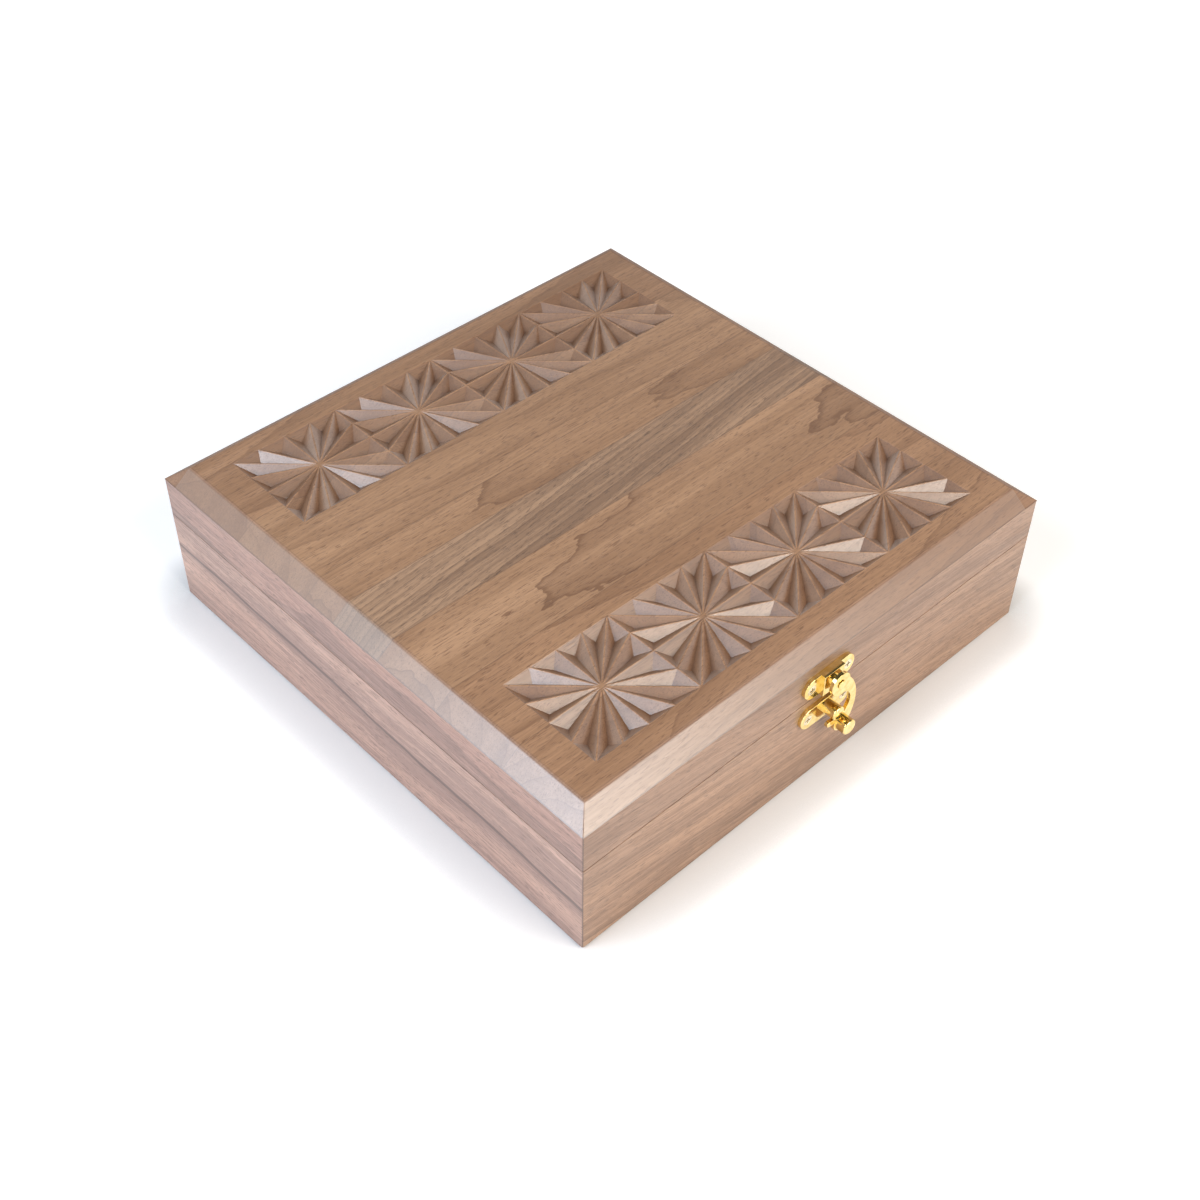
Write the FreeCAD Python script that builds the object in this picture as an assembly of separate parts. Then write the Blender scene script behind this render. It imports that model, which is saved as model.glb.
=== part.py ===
import FreeCAD, Part
import math
import os

V = FreeCAD.Vector

# Driving dimensions, in millimetres. X runs along the front, Y towards the back, Z up from the table.

# Box and lid timber
box_width = 250.0
box_depth = 249.0
wall = 10.0
base_height = 45.5
seam_gap = 0.4
lid_rail_height = 18.2
corner_ease = 0.8
foot_chamfer = 0.9
bottom_thickness = 6.0
bottom_rabbet = 5.0

# Lid panel, glued up from boards that run along X, listed from the back to the front
panel_thickness = 6.2
panel_chamfer = 8.1
panel_ease = 0.4
tongue_depth = 3.8
tongue_clearance = 0.2
board_parts = (51.7, 43.3, 17.5, 26.7, 33.3, 35.8, 40.7)

# Chip carving: two rows of square rosettes
cells_per_row = 4
carving_side_margin = 22.0
carving_end_margin = 17.2
cell_depth = 48.8
chips_per_side = 4
chip_depth = 3.3
chip_deepest = 0.80
ridge_width = 0.36

# Hinges at the back
hinge_length = 40.0
hinge_inset = 55.0
leaf_thickness = 1.4
leaf_reach = 8.0
leaf_gap = 0.3
knuckle_radius = 2.75
knuckle_gap = 0.3
knuckle_standoff = 0.35
hinge_pin_radius = 1.3
hinge_pin_clearance = 0.05
pin_head_radius = 2.0
pin_head_height = 0.6
leaf_screw_spacing = 26.0
leaf_screw_inset = 4.0
lid_opening = 100.0
heel_length = 7.0
heel_thickness = 2.0
heel_clearance = 0.25

# Latch: lid plate with its hook, and keeper plate with its post
latch_offset = -1.8
plate_length = 27.6
plate_height = 10.0
plate_thickness = 1.8
plate_ease = 0.35
lid_plate_rise = 8.2
keeper_plate_drop = 8.2
plate_screw_spacing = 20.0
block_width = 11.0
block_depth = 2.0
pivot_rise = 0.5
boss_radius = 2.5
boss_length = 1.6
rivet_radius = 1.3
rivet_clearance = 0.05
rivet_head_radius = 1.9
rivet_head_height = 0.55
rivet_head_ease = 0.44
post_rise = 1.4
post_radius = 3.1
post_length = 6.7
post_ease = 0.8
tenon_radius = 1.5

# Hook outline, measured from its pivot. The two drops are how far its arm lies below the middle of the back
# and of the bight.
hook_thickness = 1.6
hook_play = 0.3
hook_clearance = 0.35
hook_ease = 0.25
hook_turn = 0.6
eye_radius = 5.0
eye_end_angle = 215.0
throat_web = 1.7
throat_angle = 293.0
back_radius = 22.7
back_reach = 10.4
back_drop = 4.7375
bight_reach = 6.9
bight_drop = 7.201
arm_width = 2.6
tip_angle = 10.0
heel_angle = 14.0
lobe_radius = 4.2
lobe_angle = -30.0
knob_radius = 3.4
knob_length = 4.4
knob_ease = 0.8

# Wood screws with countersunk cross heads
screw_head_radius = 2.2
screw_shank_radius = 1.1
screw_length = 7.5
screw_clearance = 0.05
screw_cross_length = 2.8
screw_cross_width = 0.5
screw_cross_depth = 0.5

# Heights and places that follow from the sizes above
seam = base_height + seam_gap / 2
lid_bottom = base_height + seam_gap
panel_bottom = lid_bottom + lid_rail_height
lid_top = panel_bottom + panel_thickness
front = -box_depth / 2
back = box_depth / 2
hinge_y = back + knuckle_radius + knuckle_standoff
hinge_places = {"left": hinge_inset - box_width / 2, "right": box_width / 2 - hinge_inset}
plate_front = front - plate_thickness
block_front = plate_front - block_depth
boss_front = block_front - boss_length
hook_back = boss_front - hook_play
hook_front = hook_back - hook_thickness
lid_plate_z = seam + lid_plate_rise
keeper_plate_z = seam - keeper_plate_drop
pivot_z = lid_plate_z + pivot_rise
post_z = keeper_plate_z + post_rise


def box(low, high):
    return Part.makeBox(high[0] - low[0], high[1] - low[1], high[2] - low[2], V(*low))


def rod(radius, start, direction, length):
    return Part.makeCylinder(radius, length, V(*start), V(*direction))


def save(shape, node):
    shape.exportStep("parts/" + node + ".step")


def edges_along(shape, axis):
    """The straight edges of a shape that run along one axis."""
    found = []
    for edge in shape.Edges:
        ends = [v.Point for v in edge.Vertexes]
        if len(ends) == 2 and abs((ends[1] - ends[0]).normalize().dot(V(*axis))) > 0.999:
            found.append(edge)
    return found


def edges_at_y(shape, y):
    """The edges of a shape that lie wholly at one distance along Y."""
    return [e for e in shape.Edges if abs(e.BoundBox.YMin - y) < 1e-6 and abs(e.BoundBox.YMax - y) < 1e-6]


def envelope(bottom, top):
    """The outside of the box between two heights, with its four upright corners eased."""
    block = box((-box_width / 2, front, bottom), (box_width / 2, back, top))
    return block.makeFillet(corner_ease, edges_along(block, (0, 0, 1)))


def mitred_frame(bottom, top):
    """Four bars that meet in mitres, as a dictionary of solids by side."""
    outer = [V(-box_width / 2, front, bottom), V(box_width / 2, front, bottom),
             V(box_width / 2, back, bottom), V(-box_width / 2, back, bottom)]
    inward = [V(wall, wall, 0), V(-wall, wall, 0), V(-wall, -wall, 0), V(wall, -wall, 0)]
    inner = [corner + step for corner, step in zip(outer, inward)]
    bars = {}
    for i, side in enumerate(("front", "right", "back", "left")):
        j = (i + 1) % 4
        outline = Part.makePolygon([outer[i], outer[j], inner[j], inner[i], outer[i]])
        bars[side] = Part.Face(outline).extrude(V(0, 0, top - bottom))
    return bars


def screw_head_height():
    return screw_head_radius - screw_shank_radius


def screw(head, direction):
    """A countersunk wood screw: head is the middle of its flat face, direction points into the wood."""
    axis = V(*direction)
    cone = Part.makeCone(screw_head_radius, screw_shank_radius, screw_head_height(), V(*head), axis)
    shank_end = screw_length - screw_shank_radius
    shank = rod(screw_shank_radius, head, direction, shank_end)
    point = Part.makeCone(screw_shank_radius, screw_cross_width / 2, screw_shank_radius,
                          V(*head) + axis * shank_end, axis)
    solid = cone.fuse([shank, point])
    for length, width in ((screw_cross_length, screw_cross_width), (screw_cross_width, screw_cross_length)):
        slot = Part.makeBox(length, width, screw_cross_depth, V(-length / 2, -width / 2, 0))
        slot.Placement = FreeCAD.Placement(V(*head), FreeCAD.Rotation(V(0, 0, 1), axis))
        solid = solid.cut(slot)
    return solid


def screw_hole(head, direction):
    """The countersunk hole that a screw seats in, with the pilot hole in the wood behind it."""
    axis = V(*direction)
    cone = Part.makeCone(screw_head_radius + screw_clearance, screw_shank_radius + screw_clearance,
                         screw_head_height(), V(*head), axis)
    pilot = rod(screw_shank_radius + screw_clearance, head, direction, screw_length + screw_clearance)
    return cone.fuse(pilot)


# Places of all the screws: the middle of each head and the way it is driven
def leaf_screw_places(side, part):
    x = hinge_places[side]
    y = back - leaf_screw_inset
    rise = {"base": -leaf_gap / 2, "lid": leaf_gap / 2}[part]
    way = {"base": (0, 0, -1), "lid": (0, 0, 1)}[part]
    return [((x + offset, y, seam + rise), way) for offset in (-leaf_screw_spacing / 2, leaf_screw_spacing / 2)]


def plate_screw_places(z):
    return [((latch_offset + offset, plate_front, z), (0, 1, 0))
            for offset in (-plate_screw_spacing / 2, plate_screw_spacing / 2)]


def leaf_plate(side, part):
    """The flat of a hinge leaf, from its inner edge in the wood out to the hinge axis."""
    x = hinge_places[side]
    low = {"base": seam - leaf_gap / 2 - leaf_thickness, "lid": seam + leaf_gap / 2}[part]
    return box((x - hinge_length / 2, back - leaf_reach, low),
               (x + hinge_length / 2, hinge_y, low + leaf_thickness))


# Base: four mitred walls round a bottom panel that sits flush in their rabbet
def build_base():
    rabbet_x = box_width / 2 - wall + bottom_rabbet
    rabbet_y = box_depth / 2 - wall + bottom_rabbet
    panel = box((-rabbet_x, -rabbet_y, 0), (rabbet_x, rabbet_y, bottom_thickness))
    outside = envelope(0, base_height)
    foot = [e for e in outside.Edges if e.BoundBox.ZMax < 1e-6]
    outside = outside.makeChamfer(foot_chamfer, foot)
    walls = mitred_frame(0, base_height)
    mortises = [leaf_plate(side, "base") for side in hinge_places]
    mortises += [screw_hole(*place) for side in hinge_places for place in leaf_screw_places(side, "base")]
    walls["back"] = walls["back"].cut(mortises)
    walls["front"] = walls["front"].cut([screw_hole(*place) for place in plate_screw_places(keeper_plate_z)])
    for side, bar in walls.items():
        save(bar.cut(panel).common(outside), "base_" + side + "_wall")
    save(panel, "base_bottom_panel")


# Lid frame: four mitred rails under the panel
def build_lid_rails():
    outside = envelope(lid_bottom, panel_bottom)
    rails = mitred_frame(lid_bottom, panel_bottom)
    mortises = [leaf_plate(side, "lid") for side in hinge_places]
    mortises += [screw_hole(*place) for side in hinge_places for place in leaf_screw_places(side, "lid")]
    rails["back"] = rails["back"].cut(mortises)
    rails["front"] = rails["front"].cut([screw_hole(*place) for place in plate_screw_places(lid_plate_z)])
    for side, bar in rails.items():
        save(bar.common(outside), "lid_" + side + "_rail")


def rectangle(half_x, half_y, z):
    return Part.makePolygon([V(-half_x, -half_y, z), V(half_x, -half_y, z), V(half_x, half_y, z),
                             V(-half_x, half_y, z), V(-half_x, -half_y, z)])


def chip(centre, left, right):
    """One three-sided chip, deepest near the rosette's border, kept half a ridge inside its triangle."""
    corners = (centre, left, right)
    opposite = [(right - left).Length, (right - centre).Length, (left - centre).Length]
    perimeter = sum(opposite)
    incentre = V(0, 0, 0)
    for corner, length in zip(corners, opposite):
        incentre = incentre + corner * (length / perimeter)
    area = (left - centre).cross(right - centre).Length / 2
    inset = 1 - (ridge_width / 2) / (2 * area / perimeter)
    a, b, c = [incentre + (corner - incentre) * inset for corner in corners]
    bottom = centre + ((left + right) * 0.5 - centre) * chip_deepest - V(0, 0, chip_depth)
    faces = [Part.Face(Part.makePolygon([p, q, r, p])) for p, q, r in
             ((a, b, c), (a, b, bottom), (b, c, bottom), (c, a, bottom))]
    return Part.makeSolid(Part.makeShell(faces))


def rosette(x, y, width):
    """The chips of one square rosette, round its centre, between ridges that reach its border."""
    corners = [V(x + sx * width / 2, y + sy * cell_depth / 2, lid_top)
               for sx, sy in ((-1, -1), (1, -1), (1, 1), (-1, 1))]
    border = []
    for i in range(4):
        start, end = corners[i], corners[(i + 1) % 4]
        border += [start + (end - start) * (q / chips_per_side) for q in range(chips_per_side)]
    centre = V(x, y, lid_top)
    return [chip(centre, border[i], border[(i + 1) % len(border)]) for i in range(len(border))]


# Lid panel: boards glued edge to edge, chamfered all round, with a tongue inside the rails
def build_lid_boards():
    loft = Part.makeLoft([rectangle(box_width / 2, box_depth / 2, panel_bottom),
                          rectangle(box_width / 2 - panel_chamfer, box_depth / 2 - panel_chamfer, lid_top)],
                         True, True)
    arrises = [e for e in loft.Edges if e.BoundBox.ZMax > panel_bottom + panel_ease]
    tongue_x = box_width / 2 - wall - tongue_clearance
    tongue_y = box_depth / 2 - wall - tongue_clearance
    tongue = box((-tongue_x, -tongue_y, panel_bottom - tongue_depth), (tongue_x, tongue_y, panel_bottom))
    panel = loft.makeFillet(panel_ease, arrises).fuse(tongue).removeSplitter()

    cell_width = (box_width - 2 * carving_side_margin) / cells_per_row
    row_y = box_depth / 2 - carving_end_margin - cell_depth / 2
    chips = []
    for y in (row_y, -row_y):
        for k in range(cells_per_row):
            chips += rosette((k + 0.5) * cell_width - box_width / 2 + carving_side_margin, y, cell_width)

    joint_y = back
    for number, part in enumerate(board_parts, 1):
        width = box_depth * part / sum(board_parts)
        slab = box((-box_width, joint_y - width, 0), (box_width, joint_y, lid_top + panel_thickness))
        board = panel.common(slab)
        near = [c for c in chips if c.BoundBox.YMax > joint_y - width and c.BoundBox.YMin < joint_y]
        save(board.cut(near) if near else board, "lid_board_%d" % number)
        joint_y -= width


def knuckle_spans(side):
    """The three stretches of a hinge barrel along X: outer, middle and outer."""
    start = hinge_places[side] - hinge_length / 2
    length = (hinge_length - 2 * knuckle_gap) / 3
    return [(start + k * (length + knuckle_gap), length) for k in range(3)]


def knuckle(span, radius):
    return rod(radius, (span[0], hinge_y, seam), (1, 0, 0), span[1])


# Stop hinges: the base leaf has the outer knuckles, the lid leaf the middle one with its stop heel
def build_hinges():
    for side in hinge_places:
        spans = knuckle_spans(side)
        middle = (spans[1][0] - knuckle_gap, spans[1][1] + 2 * knuckle_gap)
        barrel = (spans[0][0], hinge_length)
        bore = knuckle(barrel, hinge_pin_radius + hinge_pin_clearance)
        swing = knuckle_radius + knuckle_gap

        recess = box((middle[0], back, seam - knuckle_radius), (middle[0] + middle[1], hinge_y, seam))
        base_leaf = leaf_plate(side, "base").cut([knuckle(middle, swing), recess])
        base_leaf = base_leaf.fuse([knuckle(spans[0], knuckle_radius), knuckle(spans[2], knuckle_radius)])
        base_holes = [screw_hole(*place) for place in leaf_screw_places(side, "base")]
        save(base_leaf.cut([bore] + base_holes).removeSplitter(), "hinge_%s_base_leaf" % side)

        lid_leaf = leaf_plate(side, "lid")
        for span in (spans[0], spans[2]):
            widened = (span[0] - knuckle_gap, span[1] + 2 * knuckle_gap)
            lid_leaf = lid_leaf.cut(knuckle(widened, swing))
        wall_face = hinge_y - back - heel_clearance
        heel = box((spans[1][0], hinge_y - wall_face, seam - heel_length),
                   (spans[1][0] + spans[1][1], hinge_y - wall_face + heel_thickness, seam))
        heel.rotate(V(0, hinge_y, seam), V(1, 0, 0), lid_opening)
        lid_leaf = lid_leaf.fuse([knuckle(spans[1], knuckle_radius), heel])
        lid_holes = [screw_hole(*place) for place in leaf_screw_places(side, "lid")]
        save(lid_leaf.cut([bore] + lid_holes).removeSplitter(), "hinge_%s_lid_leaf" % side)

        left_end = barrel[0]
        right_end = barrel[0] + barrel[1]
        pin = rod(hinge_pin_radius, (left_end, hinge_y, seam), (1, 0, 0), right_end - left_end)
        heads = [rod(pin_head_radius, (left_end - pin_head_height, hinge_y, seam), (1, 0, 0), pin_head_height),
                 rod(pin_head_radius, (right_end, hinge_y, seam), (1, 0, 0), pin_head_height)]
        save(pin.fuse(heads).removeSplitter(), "hinge_%s_pin" % side)

        for part in ("base", "lid"):
            screws = [screw(*place) for place in leaf_screw_places(side, part)]
            save(Part.makeCompound(screws), "hinge_%s_%s_screws" % (side, part))


def stadium_plate(z):
    """A latch plate with round ends, lying on the front of the box."""
    half = (plate_length - plate_height) / 2
    ends = [rod(plate_height / 2, (latch_offset + x, front, z), (0, -1, 0), plate_thickness) for x in (-half, half)]
    middle = box((latch_offset - half, plate_front, z - plate_height / 2),
                 (latch_offset + half, front, z + plate_height / 2))
    plate = middle.fuse(ends).removeSplitter()
    return plate.makeFillet(plate_ease, edges_at_y(plate, plate_front))


def peg(radius, ease, z, x, start, length):
    """A round post with a softened end that stands out from the front."""
    body = rod(radius, (x, start, z), (0, -1, 0), length)
    return body.makeFillet(ease, edges_at_y(body, start - length))


# Lid plate: a block and a round boss carry the pivot rivet that the hook turns on
def build_lid_plate():
    block = box((latch_offset - block_width / 2, block_front, lid_plate_z - plate_height / 2),
                (latch_offset + block_width / 2, plate_front + plate_ease, lid_plate_z + plate_height / 2))
    block = block.makeFillet(plate_ease, edges_at_y(block, block_front))
    boss = rod(boss_radius, (latch_offset, block_front, pivot_z), (0, -1, 0), boss_length)
    socket = rod(rivet_radius, (latch_offset, plate_front, pivot_z), (0, -1, 0), plate_front - boss_front)
    holes = [screw_hole(*place) for place in plate_screw_places(lid_plate_z)]
    plate = stadium_plate(lid_plate_z).fuse([block, boss]).cut([socket] + holes)
    save(plate, "latch_lid_plate")
    save(Part.makeCompound([screw(*place) for place in plate_screw_places(lid_plate_z)]), "latch_lid_screws")

    shank_end = hook_front - hook_play / 2
    shank = rod(rivet_radius, (latch_offset, plate_front, pivot_z), (0, -1, 0), plate_front - shank_end)
    head = peg(rivet_head_radius, rivet_head_ease, pivot_z, latch_offset, shank_end, rivet_head_height)
    save(shank.fuse(head).removeSplitter(), "latch_pivot_rivet")


def on_hook(u, v, y):
    """A point of the hook's outline, u to the right of its pivot and v above it."""
    return V(latch_offset + u, y, pivot_z + v)


def polar(radius, degrees):
    return (radius * math.cos(math.radians(degrees)), radius * math.sin(math.radians(degrees)))


def circles_cross(centre_a, radius_a, centre_b, radius_b, side):
    """Where two circles cross, on the left (side 1) or right (side -1) of the line from a to b."""
    du, dv = centre_b[0] - centre_a[0], centre_b[1] - centre_a[1]
    gap = math.hypot(du, dv)
    along = (radius_a ** 2 - radius_b ** 2 + gap ** 2) / (2 * gap)
    across = side * math.sqrt(radius_a ** 2 - along ** 2)
    return (centre_a[0] + (along * du - across * dv) / gap, centre_a[1] + (along * dv + across * du) / gap)


def hook_outline(y):
    """The crescent: eye, bulging back, lobe for the knob, arm under the post and open mouth."""
    pivot = (0.0, 0.0)
    inner = pivot_z - post_z + post_radius + hook_clearance
    outer = inner + arm_width
    back_centre = (back_reach - back_radius, back_drop - inner)
    tip = 270 - tip_angle
    eye_top = circles_cross(pivot, eye_radius, back_centre, back_radius, 1)
    reach = polar(back_radius - lobe_radius, lobe_angle)
    lobe = (back_centre[0] + reach[0], back_centre[1] + reach[1])
    toe = polar(back_radius, lobe_angle)
    lobe_start = (back_centre[0] + toe[0], back_centre[1] + toe[1])
    lobe_end = circles_cross(pivot, outer, lobe, lobe_radius, -1)
    lobe_low = polar(lobe_radius, 2 * lobe_angle - 45)
    tip_middle = polar((inner + outer) / 2, tip)
    tip_out = polar(arm_width / 2, tip - 90)
    inner_end = 270 + heel_angle
    outer_turn = math.degrees(math.atan2(lobe_end[1], lobe_end[0])) % 360
    throat = polar(eye_radius + throat_web, throat_angle)
    throat_middle = polar(eye_radius + throat_web / 2, (throat_angle + eye_end_angle) / 2)
    eye_end = polar(eye_radius, eye_end_angle)
    arcs = [
        (eye_end, polar(eye_radius, eye_end_angle / 2), eye_top),
        (eye_top, (back_reach, back_centre[1]), lobe_start),
        (lobe_start, (lobe[0] + lobe_low[0], lobe[1] + lobe_low[1]), lobe_end),
        (lobe_end, polar(outer, (outer_turn + tip) / 2), polar(outer, tip)),
        (polar(outer, tip), (tip_middle[0] + tip_out[0], tip_middle[1] + tip_out[1]), polar(inner, tip)),
        (polar(inner, tip), polar(inner, (tip + inner_end) / 2), polar(inner, inner_end)),
        (polar(inner, inner_end), (bight_reach, bight_drop - inner), throat),
        (throat, throat_middle, eye_end),
    ]
    edges = [Part.Arc(*[on_hook(u, v, y) for u, v in arc]).toShape() for arc in arcs]
    return Part.Wire(edges), lobe


def sharp_turns(shape):
    """The edges along Y where a flat piece's outline turns a corner."""
    found = []
    for edge in edges_along(shape, (0, 1, 0)):
        middle = edge.valueAt((edge.FirstParameter + edge.LastParameter) / 2)
        sides = [f for f in shape.Faces if any(e.isSame(edge) for e in f.Edges)]
        normals = [f.normalAt(*f.Surface.parameter(middle)) for f in sides]
        if normals[0].dot(normals[1]) < math.cos(math.radians(10)):
            found.append(edge)
    return found


# Hook: a flat crescent that turns on the rivet, with a round finger knob riveted to its lobe
def build_hook():
    outline, lobe = hook_outline(hook_back)
    hook = Part.Face(outline).extrude(V(0, -hook_thickness, 0))
    hook = hook.makeFillet(hook_turn, sharp_turns(hook))
    hook = hook.makeFillet(hook_ease, edges_at_y(hook, hook_front))
    eye = rod(rivet_radius + rivet_clearance, (latch_offset, hook_back, pivot_z), (0, -1, 0), hook_thickness)
    knob_x = latch_offset + lobe[0]
    knob_z = pivot_z + lobe[1]
    tenon = rod(tenon_radius, (knob_x, hook_back, knob_z), (0, -1, 0), hook_thickness)
    save(hook.cut([eye, tenon]), "latch_hook")
    knob = peg(knob_radius, knob_ease, knob_z, knob_x, hook_front, knob_length)
    save(knob.fuse(tenon).removeSplitter(), "latch_hook_knob")


# Keeper: a plate on the base with the post that the hook catches
def build_keeper():
    tenon = rod(tenon_radius, (latch_offset, front, post_z), (0, -1, 0), plate_thickness)
    holes = [screw_hole(*place) for place in plate_screw_places(keeper_plate_z)]
    save(stadium_plate(keeper_plate_z).cut([tenon] + holes), "keeper_plate")
    post = peg(post_radius, post_ease, post_z, latch_offset, plate_front, post_length)
    save(post.fuse(tenon).removeSplitter(), "keeper_post")
    save(Part.makeCompound([screw(*place) for place in plate_screw_places(keeper_plate_z)]), "keeper_screws")


os.makedirs("parts", exist_ok=True)
build_base()
build_lid_rails()
build_lid_boards()
build_hinges()
build_lid_plate()
build_hook()
build_keeper()
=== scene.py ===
import math

import bmesh
import bpy
from mathutils import Matrix, Vector


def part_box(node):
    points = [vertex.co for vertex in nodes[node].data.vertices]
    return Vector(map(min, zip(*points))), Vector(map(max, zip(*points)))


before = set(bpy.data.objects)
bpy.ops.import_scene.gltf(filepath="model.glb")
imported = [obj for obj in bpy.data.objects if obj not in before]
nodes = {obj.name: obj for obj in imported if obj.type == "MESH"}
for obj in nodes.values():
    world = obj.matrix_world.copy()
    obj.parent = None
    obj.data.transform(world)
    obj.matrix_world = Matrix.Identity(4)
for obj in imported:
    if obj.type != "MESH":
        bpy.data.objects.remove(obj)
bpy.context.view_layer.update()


# Base walls and bottom: planed and oiled walnut, mitred at the corners and glued, with the bottom let in
# flush. The left wall is rosy and lighter, partly its wood and partly painted light for the floor's bounce
# and the cool left box's sheen. It carries one dark vein, and the others are sandier. All have streaks along
# their length.
def shader(tree, kind, inputs=None, **settings):
    """Adds a node, sets its properties, and links or fills its inputs."""
    made = tree.nodes.new("ShaderNode" + kind)
    for name, value in settings.items():
        setattr(made, name, value)
    for name, value in (inputs or {}).items():
        if isinstance(value, bpy.types.NodeSocket):
            tree.links.new(value, made.inputs[name])
        else:
            made.inputs[name].default_value = value
    return made


def math_of(tree, operation, *values):
    return shader(tree, "Math", dict(enumerate(values)), operation=operation).outputs[0]


def vector_of(tree, operation, *values):
    made = shader(tree, "VectorMath", dict(enumerate(values)), operation=operation)
    return made.outputs["Value" if operation in ("LENGTH", "DOT_PRODUCT") else "Vector"]


def step_of(tree, value, low, high, start=0.0, end=1.0):
    """A smooth step from start to end as the value goes from low to high."""
    inputs = {0: value, 1: low, 2: high, 3: start, 4: end}
    return shader(tree, "MapRange", inputs, interpolation_type="SMOOTHSTEP").outputs[0]


def mixed(tree, factor, first, second):
    made = shader(tree, "Mix", {0: factor, 6: first, 7: second}, data_type="RGBA")
    return made.outputs[2]


def stained(tree, colour, mask, strength, stain):
    """The colour, turned towards the stain by strength where the mask is 1."""
    return mixed(tree, math_of(tree, "MULTIPLY", mask, strength), colour, (*stain, 1))


def noise_of(tree, vector, stretch, detail=2.0, roughness=0.5):
    scaled = vector_of(tree, "MULTIPLY", vector, stretch)
    inputs = {"Vector": scaled, "Scale": 1.0, "Detail": detail, "Roughness": roughness}
    return shader(tree, "TexNoise", inputs)


def bend_of(tree, vector, stretch, detail, amount):
    """A push to and fro, by up to half the amount."""
    push = noise_of(tree, vector, stretch, detail).outputs["Color"]
    centred = vector_of(tree, "SUBTRACT", push, (0.5, 0.5, 0.5))
    return shader(tree, "VectorMath", {0: centred, "Scale": amount}, operation="SCALE").outputs[0]


def node_group(name, inputs, outputs):
    """An empty node group with named sockets, as (tree, its input node, its output node)."""
    tree = bpy.data.node_groups.new(name, "ShaderNodeTree")
    for socket, kind in inputs:
        tree.interface.new_socket(name=socket, in_out="INPUT", socket_type="NodeSocket" + kind)
    for socket, kind in outputs:
        tree.interface.new_socket(name=socket, in_out="OUTPUT", socket_type="NodeSocket" + kind)
    return tree, tree.nodes.new("NodeGroupInput"), tree.nodes.new("NodeGroupOutput")


def walnut_figure():
    """Growth rings round a pith along X, with streaks, fibres and pores drawn out along the grain."""
    tree, given, result = node_group(
        "walnut_figure",
        [("Vector", "Vector"), ("Spacing", "Float"), ("Taper", "Float"), ("Phase", "Float"),
         ("Wander", "Float"), ("Ripple", "Float")],
        [("Ring", "Float"), ("Tone", "Float"), ("Streak", "Float"), ("Fibre", "Float"), ("Pore", "Float")])
    place = given.outputs["Vector"]
    bent = vector_of(tree, "ADD", place, bend_of(tree, place, (6, 20, 20), 2.0, given.outputs["Wander"]))
    ringed = vector_of(tree, "ADD", bent, bend_of(tree, place, (55, 150, 150), 3.0, given.outputs["Ripple"]))
    radius = vector_of(tree, "LENGTH", vector_of(tree, "MULTIPLY", ringed, (0, 1, 1)))
    along = vector_of(tree, "DOT_PRODUCT", place, (1, 0, 0))
    cone = math_of(tree, "SUBTRACT", radius, math_of(tree, "MULTIPLY", along, given.outputs["Taper"]))
    count = math_of(tree, "DIVIDE", cone, given.outputs["Spacing"])
    count = math_of(tree, "ADD", count, given.outputs["Phase"])
    year = math_of(tree, "FRACT", count)
    late_wood, dark_line, year_end = 0.50, 0.91, 0.985
    late = math_of(tree, "MULTIPLY", step_of(tree, year, late_wood, year_end), 0.5)
    line = math_of(tree, "MULTIPLY_ADD", step_of(tree, year, dark_line, year_end), 0.5, late)
    ring = math_of(tree, "MULTIPLY", line, step_of(tree, year, year_end, 1.0, 1.0, 0.0))
    whole_years = math_of(tree, "FLOOR", count)
    tone = shader(tree, "TexWhiteNoise", {"W": whole_years}, noise_dimensions="1D").outputs["Value"]
    pores = noise_of(tree, bent, (240, 2600, 2600), 1.0).outputs["Fac"]
    drawn = {
        "Ring": ring,
        "Tone": tone,
        "Streak": noise_of(tree, bent, (4, 75, 75), 5.0, 0.6).outputs["Fac"],
        "Fibre": noise_of(tree, bent, (28, 1100, 1100), 3.0, 0.6).outputs["Fac"],
        "Pore": step_of(tree, pores, 0.56, 0.68),
    }
    for socket, value in drawn.items():
        tree.links.new(value, result.inputs[socket])
    return tree


def joint_shade(half_width, half_depth):
    """Masks for the mitre joints at the four corners and for the painted shade along the foot."""
    tree, given, result = node_group(
        "joint_shade", [("Vector", "Vector")], [("Mitre", "Float"), ("Foot", "Float")])
    parts = shader(tree, "SeparateXYZ", {0: given.outputs["Vector"]})
    inset_x = math_of(tree, "SUBTRACT", math_of(tree, "ABSOLUTE", parts.outputs["X"]), half_width)
    inset_y = math_of(tree, "SUBTRACT", math_of(tree, "ABSOLUTE", parts.outputs["Y"]), half_depth)
    off_mitre = math_of(tree, "ABSOLUTE", math_of(tree, "SUBTRACT", inset_x, inset_y))
    tree.links.new(step_of(tree, off_mitre, 0.00012, 0.00050, 1.0, 0.0), result.inputs["Mitre"])
    tree.links.new(step_of(tree, parts.outputs["Z"], 0.0004, 0.0016, 1.0, 0.0), result.inputs["Foot"])
    return tree


half_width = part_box("base_right_wall")[1].x
half_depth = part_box("base_back_wall")[1].y
figure_group = walnut_figure()
joint_group = joint_shade(half_width, half_depth)


def new_material(name):
    material = bpy.data.materials.new(name)
    material.use_nodes = True
    tree = material.node_tree
    return material, tree, tree.nodes["Principled BSDF"]


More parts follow.
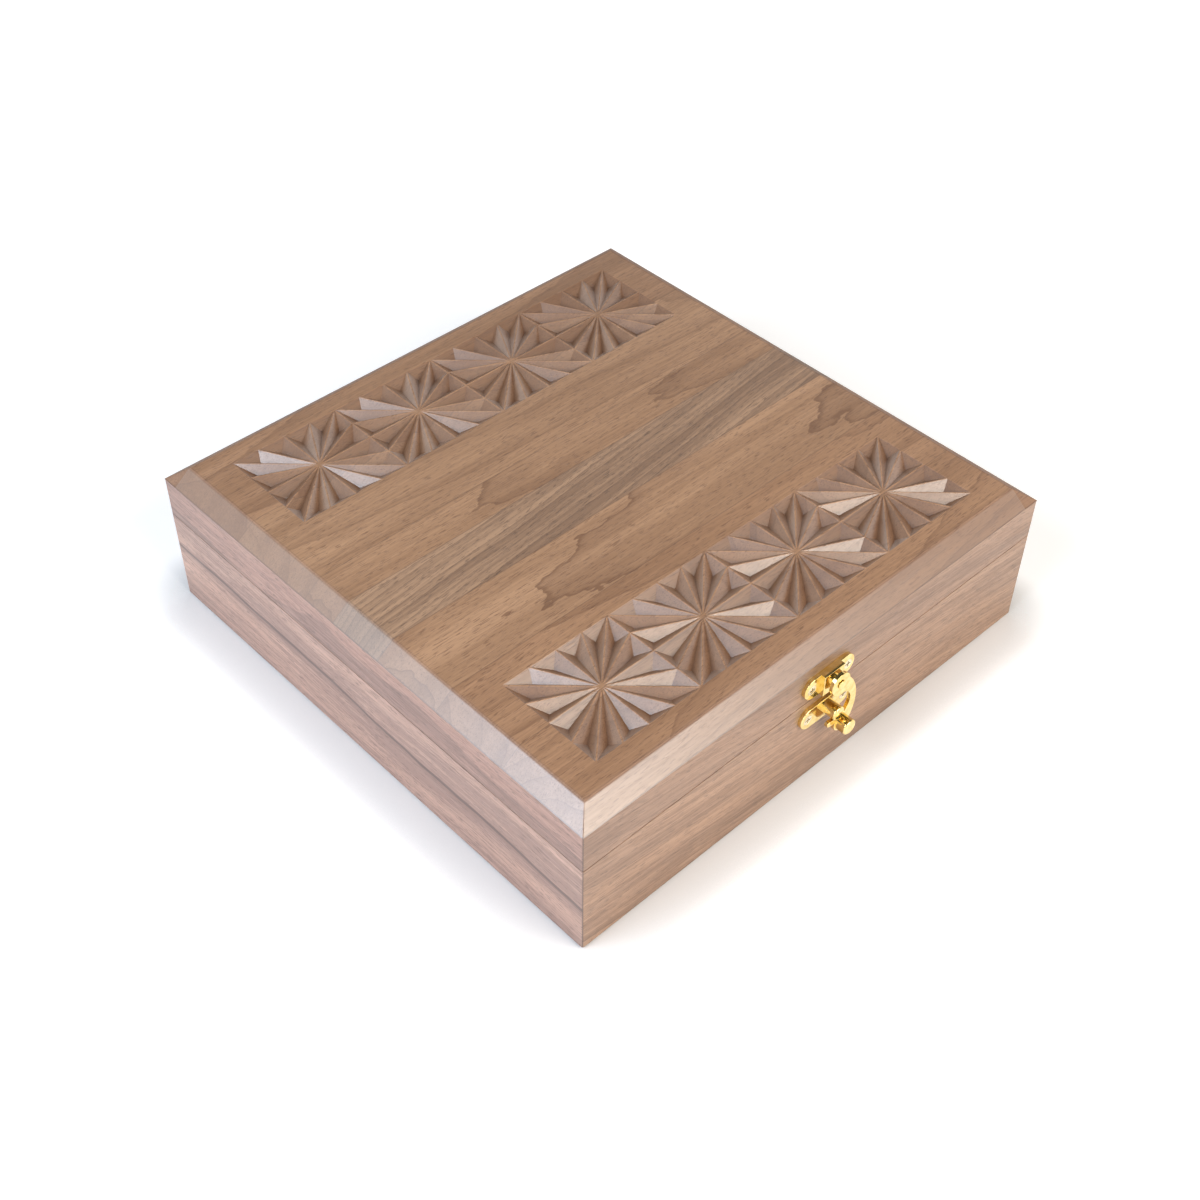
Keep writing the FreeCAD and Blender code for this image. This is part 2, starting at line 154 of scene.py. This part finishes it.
def walnut_grain(tree, cut):
    """The wood figure for one piece: cut says how the board was sawn from the log and its three tones."""
    place = shader(tree, "TexCoord").outputs["Object"]
    turn = [math.radians(angle) for angle in cut["turn"]]
    sawn_from = shader(tree, "Mapping", {"Vector": place, "Rotation": turn, "Location": cut["pith"]})
    figure = shader(tree, "Group", node_tree=figure_group)
    tree.links.new(sawn_from.outputs[0], figure.inputs["Vector"])
    for socket in ("Spacing", "Taper", "Phase", "Wander", "Ripple"):
        figure.inputs[socket].default_value = cut[socket.lower()]
    out = figure.outputs
    shade = math_of(tree, "MULTIPLY_ADD", out["Tone"], cut["tone"], -cut["tone"] / 2)
    shade = math_of(tree, "ADD", shade, step_of(tree, out["Streak"], 0.25, 0.75))
    shade = math_of(tree, "ADD", shade, math_of(tree, "MULTIPLY_ADD", out["Fibre"], 2.0, -1.0))
    shade = shader(tree, "Clamp", {0: shade}).outputs[0]
    colour = mixed(tree, shade, (*cut["light"], 1), (*cut["dark"], 1))
    colour = stained(tree, colour, out["Ring"], cut["ring"], cut["line"])
    colour = stained(tree, colour, out["Pore"], 0.62, cut["line"])
    height = math_of(tree, "MULTIPLY_ADD", out["Pore"], -0.7, math_of(tree, "MULTIPLY", out["Fibre"], 0.5))
    return place, colour, out, height


def oiled_surface(tree, principled, colour, rough, height):
    """A thin oil finish: broad soft gloss, with pores and fibres felt in the light."""
    bump = shader(tree, "Bump", {"Height": height, "Strength": 0.35, "Distance": 0.00012})
    tree.links.new(colour, principled.inputs["Base Color"])
    tree.links.new(rough, principled.inputs["Roughness"])
    tree.links.new(bump.outputs[0], principled.inputs["Normal"])
    principled.inputs["Specular IOR Level"].default_value = 1.0


def dark_vein(tree, place, rise, slope):
    """Mask of one vein along a wall: a crisp line at the rise, climbing with y, and a soft stain below it."""
    wobble = noise_of(tree, place, (30, 16, 30), 3.0).outputs["Fac"]
    swing = 0.009
    line = math_of(tree, "MULTIPLY_ADD", wobble, swing, rise - swing / 2)
    off = math_of(tree, "SUBTRACT", vector_of(tree, "DOT_PRODUCT", place, (0, -slope, 1)), line)
    crisp = step_of(tree, math_of(tree, "ABSOLUTE", off), 0.0006, 0.0013, 0.95, 0.0)
    below = step_of(tree, off, -0.0060, 0.0, 0.0, 0.35)
    below = math_of(tree, "MULTIPLY", below, step_of(tree, off, 0.0, 0.0004, 1.0, 0.0))
    return math_of(tree, "MAXIMUM", crisp, below)


def walnut_side(name, cut, vein=None, mitred=True):
    """Walnut for a wall, rail or panel, with dark mitres, painted shade along the foot, and sometimes one
    dark vein.
    """
    material, tree, principled = new_material(name)
    place, colour, out, height = walnut_grain(tree, cut)
    if vein:
        colour = mixed(tree, dark_vein(tree, place, *vein), colour, (*cut["line"], 1))
    if mitred:
        joints = shader(tree, "Group", node_tree=joint_group)
        tree.links.new(place, joints.inputs["Vector"])
        # The mitres are dark glue lines. The foot band is painted shade where the wall meets the floor.
        glued = math_of(tree, "MULTIPLY", joints.outputs["Mitre"], 0.75)
        foot_shade = math_of(tree, "MULTIPLY", joints.outputs["Foot"], 0.45)
        glue_and_foot_shade = (0.10, 0.06, 0.045, 1)
        colour = mixed(tree, math_of(tree, "MAXIMUM", glued, foot_shade), colour, glue_and_foot_shade)
    rough = step_of(tree, out["Fibre"], 0.3, 0.7, 0.36, 0.48)
    oiled_surface(tree, principled, colour, rough, height)
    return material


def dress(node, material):
    nodes[node].data.materials.clear()
    nodes[node].data.materials.append(material)


# The rosy tone is lifted lighter with painted light, standing in for the floor's bounce and the cool left
# box's sheen.
rosy = {"light": (0.680, 0.402, 0.297), "dark": (0.360, 0.209, 0.161), "line": (0.140, 0.076, 0.060)}
sandy = {"light": (0.465, 0.266, 0.160), "dark": (0.232, 0.127, 0.075), "line": (0.115, 0.060, 0.036)}
along_front = {
    "turn": (0, -7, 0), "pith": (0.3, 0.35, -0.16), "spacing": 0.0085, "taper": 0.004, "phase": 0.0,
    "wander": 0.014, "ripple": 0.0015, "tone": 0.6, "ring": 0.22, **sandy}
along_left = {
    "turn": (0, 0, 90), "pith": (0.8, 0.30, -0.02), "spacing": 0.011, "taper": 0.004, "phase": 0.0,
    "wander": 0.016, "ripple": 0.0010, "tone": 0.6, "ring": 0.22, **rosy}
along_back = {**along_front, "pith": (1.6, -0.35, -0.12)}
along_right = {**along_left, "pith": (2.3, -0.30, 0.05), **sandy}
base_cuts = {"front": along_front, "back": along_back, "left": along_left, "right": along_right}
veins = {"left": (0.0262, 0.0205)}
for side, cut in base_cuts.items():
    dress("base_%s_wall" % side, walnut_side("walnut_base_" + side, cut, veins.get(side)))
bottom_cut = {**along_front, "turn": (0, 0, 0), "pith": (3.1, 0.02, 0.10), "spacing": 0.007, "taper": 0.03}
dress("base_bottom_panel", walnut_side("walnut_bottom", bottom_cut, mitred=False))


# Keeper: a small gilt plate on the front wall, with the round post that the hook catches.
# Cast and plated bright, it is fixed with two countersunk screws.
def gilt_finish():
    """Fine polishing marks and handling smears of bright plated metal."""
    tree, given, result = node_group(
        "gilt_finish", [("Vector", "Vector"), ("Rough", "Float")],
        [("Roughness", "Float"), ("Height", "Float"), ("Shade", "Float")])
    place = given.outputs["Vector"]
    smear = noise_of(tree, place, (420, 420, 420), 3.0).outputs["Fac"]
    scratch = noise_of(tree, place, (900, 9000, 2600), 2.0).outputs["Fac"]
    spread = 0.10
    cleanest = math_of(tree, "ADD", given.outputs["Rough"], -spread / 2)
    tree.links.new(math_of(tree, "MULTIPLY_ADD", smear, spread, cleanest), result.inputs["Roughness"])
    tree.links.new(scratch, result.inputs["Height"])
    tree.links.new(step_of(tree, smear, 0.35, 0.7), result.inputs["Shade"])
    return tree


gilt_group = gilt_finish()


def plated_metal(name, bright, deep, rough):
    """Plated metal between a bright and a deeper tone, with the given roughness."""
    material, tree, principled = new_material(name)
    finish = shader(tree, "Group", node_tree=gilt_group)
    tree.links.new(shader(tree, "TexCoord").outputs["Object"], finish.inputs["Vector"])
    finish.inputs["Rough"].default_value = rough
    colour = mixed(tree, finish.outputs["Shade"], (*bright, 1), (*deep, 1))
    bump = shader(tree, "Bump", {"Height": finish.outputs["Height"], "Strength": 0.06, "Distance": 0.00002})
    tree.links.new(colour, principled.inputs["Base Color"])
    tree.links.new(finish.outputs["Roughness"], principled.inputs["Roughness"])
    tree.links.new(bump.outputs[0], principled.inputs["Normal"])
    principled.inputs["Metallic"].default_value = 1.0
    return material


gilt = plated_metal("gilt_plating", (0.90, 0.70, 0.31), (0.80, 0.58, 0.19), 0.13)
screw_metal = plated_metal("plated_screw", (0.88, 0.78, 0.56), (0.76, 0.63, 0.41), 0.20)
for name in ("keeper_plate", "keeper_post"):
    dress(name, gilt)
dress("keeper_screws", screw_metal)


# Hinges: two satin brass stop hinges let into the back edges, each with a leaf for the base and one for the
# lid. Their barrels stand behind the back wall, on a pin with two peened heads.
hinge_brass = plated_metal("satin_brass", (0.80, 0.56, 0.24), (0.62, 0.41, 0.16), 0.32)
for side in ("left", "right"):
    for part in ("base_leaf", "lid_leaf", "pin"):
        dress("hinge_%s_%s" % (side, part), hinge_brass)
    for part in ("base_screws", "lid_screws"):
        dress("hinge_%s_%s" % (side, part), screw_metal)


# Lid rails: four mitred walnut rails, cut from the same boards as the walls below them. Their streaks carry
# on across the seam. The left and front rails are a shade darker than their walls: the left wall carries
# painted light that its rail lacks, and the front rail is darkened as painted shade.
# Rail tones: the left one without its wall's painted light, the front one a darker copy of its wall's tone,
# as painted shade.
dusky = {"light": (0.445, 0.240, 0.178), "dark": (0.222, 0.119, 0.093), "line": (0.110, 0.058, 0.046)}
tawny = {"light": (0.400, 0.227, 0.138), "dark": (0.225, 0.123, 0.074), "line": (0.115, 0.060, 0.036)}
rail_cuts = {**base_cuts, "left": {**along_left, **dusky}, "front": {**along_front, **tawny}}
for side, cut in rail_cuts.items():
    dress("lid_%s_rail" % side, walnut_side("walnut_rail_" + side, cut))


# Lid boards: seven walnut boards glued edge to edge, chamfered all round, and carved by knife with two rows
# of rosettes. Each board has its own figure: pointed arches where it was sawn flat, fine straight lines where
# it was sawn across.
lid_top = max(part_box("lid_board_%d" % number)[1].z for number in range(1, 8))
panel_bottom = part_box("lid_front_rail")[1].z
carving_half = 0.1032
row_middle = 0.0829
row_half = 0.0246
carving_floor = 0.0050
bevel = 0.0081


def carved_area(tree, x, y, depth):
    """Mask of the two carved rows, from the lid's face down to the deepest chips."""
    off_row = math_of(tree, "SUBTRACT", math_of(tree, "ABSOLUTE", y), row_middle)
    in_length = math_of(tree, "LESS_THAN", math_of(tree, "ABSOLUTE", x), carving_half)
    in_row = math_of(tree, "LESS_THAN", math_of(tree, "ABSOLUTE", off_row), row_half)
    in_face = math_of(tree, "LESS_THAN", depth, carving_floor)
    return math_of(tree, "MULTIPLY", math_of(tree, "MULTIPLY", in_length, in_row), in_face)


def beyond_bevel(tree, x, y):
    """How far a point lies outside the arris where the lid's face meets its chamfers."""
    out_x = math_of(tree, "SUBTRACT", math_of(tree, "ABSOLUTE", x), half_width - bevel)
    out_y = math_of(tree, "SUBTRACT", math_of(tree, "ABSOLUTE", y), half_depth - bevel)
    return math_of(tree, "MAXIMUM", out_x, out_y)


def walnut_board(name, node, cut):
    """Carved lid board: glossier where it was cut last, with painted shade in the valleys, and dark along its
    glue lines.
    """
    low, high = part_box(node)
    material, tree, principled = new_material(name)
    place, colour, out, height = walnut_grain(tree, cut)
    x, y, z = shader(tree, "SeparateXYZ", {0: place}).outputs
    depth = math_of(tree, "SUBTRACT", lid_top, z)
    carved = carved_area(tree, x, y, depth)
    knifed = math_of(tree, "MULTIPLY", carved, step_of(tree, depth, 0.00003, 0.00025))
    valley_shade = math_of(tree, "MULTIPLY", carved, step_of(tree, depth, 0.0012, 0.0036))
    speckled = math_of(tree, "MULTIPLY_ADD", out["Pore"], 0.25, 0.52)
    colour = stained(tree, colour, knifed, speckled, cut["line"])
    # Painted shade in the deep valleys of the chips.
    colour = stained(tree, colour, valley_shade, 0.62, cut["line"])
    to_back = math_of(tree, "SUBTRACT", high.y, y)
    to_edge = math_of(tree, "MINIMUM", math_of(tree, "SUBTRACT", y, low.y), to_back)
    glue = step_of(tree, to_edge, 0.00005, 0.00030, 0.45, 0.0)
    foot = step_of(tree, math_of(tree, "SUBTRACT", z, panel_bottom), 0.00010, 0.00045, 0.7, 0.0)
    colour = mixed(tree, math_of(tree, "MAXIMUM", glue, foot), colour, (0.11, 0.06, 0.04, 1))
    beyond = beyond_bevel(tree, x, y)
    planed = step_of(tree, beyond, 0.0, 0.0005)
    far_x = math_of(tree, "SUBTRACT", x, half_width - bevel)
    far_y = math_of(tree, "SUBTRACT", y, half_depth - bevel)
    dull_side = step_of(tree, math_of(tree, "MAXIMUM", far_x, far_y), 0.0, 0.0005)
    # Band along the arris, painted darker as shade to dim the light line on the edge, and made rougher.
    shaded_arris = step_of(tree, math_of(tree, "ABSOLUTE", beyond), 0.0003, 0.0010, 1.0, 0.0)
    colour = stained(tree, colour, planed, 0.46, cut["line"])
    colour = stained(tree, colour, shaded_arris, 0.30, cut["line"])
    rough = step_of(tree, out["Fibre"], 0.3, 0.7, 0.32, 0.42)
    rough = math_of(tree, "MULTIPLY_ADD", knifed, -0.04, rough)
    dulled = math_of(tree, "MAXIMUM", shaded_arris, dull_side)
    rough = math_of(tree, "MULTIPLY_ADD", dulled, 0.40, rough)
    oiled_surface(tree, principled, colour, rough, height)
    fresh = math_of(tree, "MAXIMUM", math_of(tree, "MULTIPLY", knifed, 0.68), planed)
    waxed = math_of(tree, "MULTIPLY", fresh, math_of(tree, "SUBTRACT", 1.0, dulled))
    tree.links.new(waxed, principled.inputs["Coat Weight"])
    principled.inputs["Coat Roughness"].default_value = 0.36
    principled.inputs["Coat IOR"].default_value = 1.7
    return material


warm = {"light": (0.540, 0.306, 0.174), "dark": (0.372, 0.200, 0.108), "line": (0.160, 0.072, 0.036)}
deep = {"light": (0.480, 0.262, 0.146), "dark": (0.325, 0.168, 0.088), "line": (0.150, 0.066, 0.033)}
pale = {"light": (0.560, 0.320, 0.184), "dark": (0.390, 0.212, 0.116), "line": (0.165, 0.074, 0.037)}
grey = {"light": (0.500, 0.300, 0.184), "dark": (0.300, 0.174, 0.106), "line": (0.120, 0.067, 0.042)}


def sawn(y, depth, spacing, taper, wander, ripple, tone, ring, tones, shift=0.0, turn=0.0, phase=0.0):
    """How a board was sawn: where its pith lies, across and below the lid's face, and its slant."""
    return {
        "turn": (0, 0, turn), "pith": (shift, -y, depth - lid_top), "spacing": spacing, "taper": taper,
        "phase": phase, "wander": wander, "ripple": ripple, "tone": tone, "ring": ring, **tones}


board_cuts = [
    sawn(0.095, 0.050, 0.0090, 0.055, 0.010, 0.0022, 0.30, 0.35, deep, shift=0.4),
    sawn(0.075, 0.045, 0.0090, 0.055, 0.010, 0.0022, 0.25, 0.35, warm, shift=0.9),
    sawn(0.022, 0.040, 0.0060, 0.055, 0.003, 0.0034, 0.25, 0.60, warm, shift=1.55, phase=0.09),
    sawn(-0.160, 0.020, 0.0026, 0.010, 0.016, 0.0008, 0.80, 0.60, grey, shift=2.2, turn=-5.0),
    sawn(-0.034, 0.045, 0.0080, 0.055, 0.004, 0.0042, 0.25, 0.70, pale, shift=2.9, phase=0.875),
    sawn(-0.040, 0.040, 0.0090, 0.055, 0.010, 0.0022, 0.25, 0.40, deep, shift=3.6),
    sawn(-0.120, 0.040, 0.0060, 0.055, 0.010, 0.0022, 0.30, 0.45, deep, shift=4.3),
]
for number, cut in enumerate(board_cuts, 1):
    name = "lid_board_%d" % number
    dress(name, walnut_board("walnut_board_%d" % number, name, cut))


# Latch: a gilt plate on the lid with a block and boss, and the crescent hook that turns on its rivet.
# The hook drops under the keeper's post and is lifted by a round finger knob.
for name in ("latch_lid_plate", "latch_pivot_rivet", "latch_hook", "latch_hook_knob"):
    dress(name, gilt)
dress("latch_lid_screws", screw_metal)


# Floor: a plain sheet of white paper with an upright rim far behind, which keeps the box's soft shadow. To
# the camera and in reflections it is lifted to white, less so near the box and least where the two touch,
# which paints a contact shadow over the real one.
floor_radius = 2.8
floor_shape = bmesh.new()
bmesh.ops.create_circle(floor_shape, cap_ends=True, segments=64, radius=floor_radius)
rim_height = floor_radius * 0.5
rim = bmesh.ops.create_cone(
    floor_shape, segments=64, radius1=floor_radius, radius2=floor_radius, depth=rim_height)
bmesh.ops.translate(floor_shape, verts=rim["verts"], vec=(0, 0, rim_height / 2))
floor_mesh = bpy.data.meshes.new("floor")
floor_shape.to_mesh(floor_mesh)
floor_shape.free()
floor = bpy.data.objects.new("floor", floor_mesh)
bpy.context.scene.collection.objects.link(floor)


def white_paper(near_lift, shadow_reach, shadow_power):
    material, tree, principled = new_material("white_paper")
    place = shader(tree, "TexCoord").outputs["Object"]
    grain = noise_of(tree, place, (300, 300, 300)).outputs["Fac"]
    paper = mixed(tree, grain, (0.815, 0.785, 0.765, 1), (0.825, 0.795, 0.775, 1))
    tree.links.new(paper, principled.inputs["Base Color"])
    principled.inputs["Roughness"].default_value = 0.9
    principled.inputs["Specular IOR Level"].default_value = 0.0
    rays = shader(tree, "LightPath").outputs
    seen = math_of(tree, "MAXIMUM", rays["Is Camera Ray"], rays["Is Glossy Ray"])
    seen = math_of(tree, "MAXIMUM", seen, rays["Is Transmission Ray"])
    away = vector_of(tree, "LENGTH", place)
    # Painted contact shadow: the white lift fades by occlusion close to the box.
    painted_shadow_lift = shader(tree, "AmbientOcclusion", {"Distance": shadow_reach}, samples=8).outputs["AO"]
    painted_shadow_lift = math_of(tree, "POWER", painted_shadow_lift, shadow_power)
    painted_shadow_lift = math_of(tree, "MAXIMUM", painted_shadow_lift, step_of(tree, away, 0.3, 0.6))
    glow = math_of(tree, "MULTIPLY", step_of(tree, away, 0.20, 0.50, near_lift, 1.0), painted_shadow_lift)
    tree.links.new(math_of(tree, "MULTIPLY", seen, glow), principled.inputs["Emission Strength"])
    principled.inputs["Emission Color"].default_value = (1, 1, 1, 1)
    return material


floor_mesh.materials.append(white_paper(0.47, 0.025, 7.0))


# Studio light: a cool soft box from the left and a warm one from the front, in a dim white room.
# Their mirror images lie on the near chamfers and on the carved facets that face them.
def soft_box(name, place, aim, size, watts, tint):
    lamp = bpy.data.lights.new(name, "AREA")
    lamp.shape = "RECTANGLE"
    lamp.size, lamp.size_y = size
    lamp.energy = watts
    lamp.color = tint
    holder = bpy.data.objects.new(name, lamp)
    holder.location = place
    holder.rotation_euler = (Vector(aim) - Vector(place)).to_track_quat("-Z", "Y").to_euler()
    bpy.context.scene.collection.objects.link(holder)


middle = (0, 0, lid_top / 2)
soft_box("left_soft_box", (-1.04, 0.12, 0.82), middle, (0.95, 0.80), 17.5, (0.74, 0.86, 1.0))
soft_box("front_soft_box", (0.14, -1.05, 0.82), middle, (0.95, 0.80), 15.0, (1.0, 0.97, 0.90))

world = bpy.data.worlds.new("white_room")
bpy.context.scene.world = world
world.use_nodes = True
background = world.node_tree.nodes["Background"]
background.inputs["Color"].default_value = (1, 1, 1, 1)
background.inputs["Strength"].default_value = 0.10


# Camera: placed where the photograph was taken from, a little rolled, looking down at the near corner.
# The lens is in millimetres on a film 36 mm wide.
eye = Vector((-0.36160, -0.37659, 0.51458))
aim = Vector((-0.01945, -0.02141, 0.03000))
roll = math.radians(0.81)
camera_data = bpy.data.cameras.new("camera")
camera_data.lens = 51.1
camera_data.sensor_width = 36.0
camera = bpy.data.objects.new("camera", camera_data)
facing = (aim - eye).to_track_quat("-Z", "Y").to_matrix().to_4x4()
camera.matrix_world = Matrix.Translation(eye) @ facing @ Matrix.Rotation(roll, 4, "Z")
bpy.context.scene.collection.objects.link(camera)
bpy.context.scene.camera = camera
bpy.context.scene.view_settings.view_transform = "Standard"
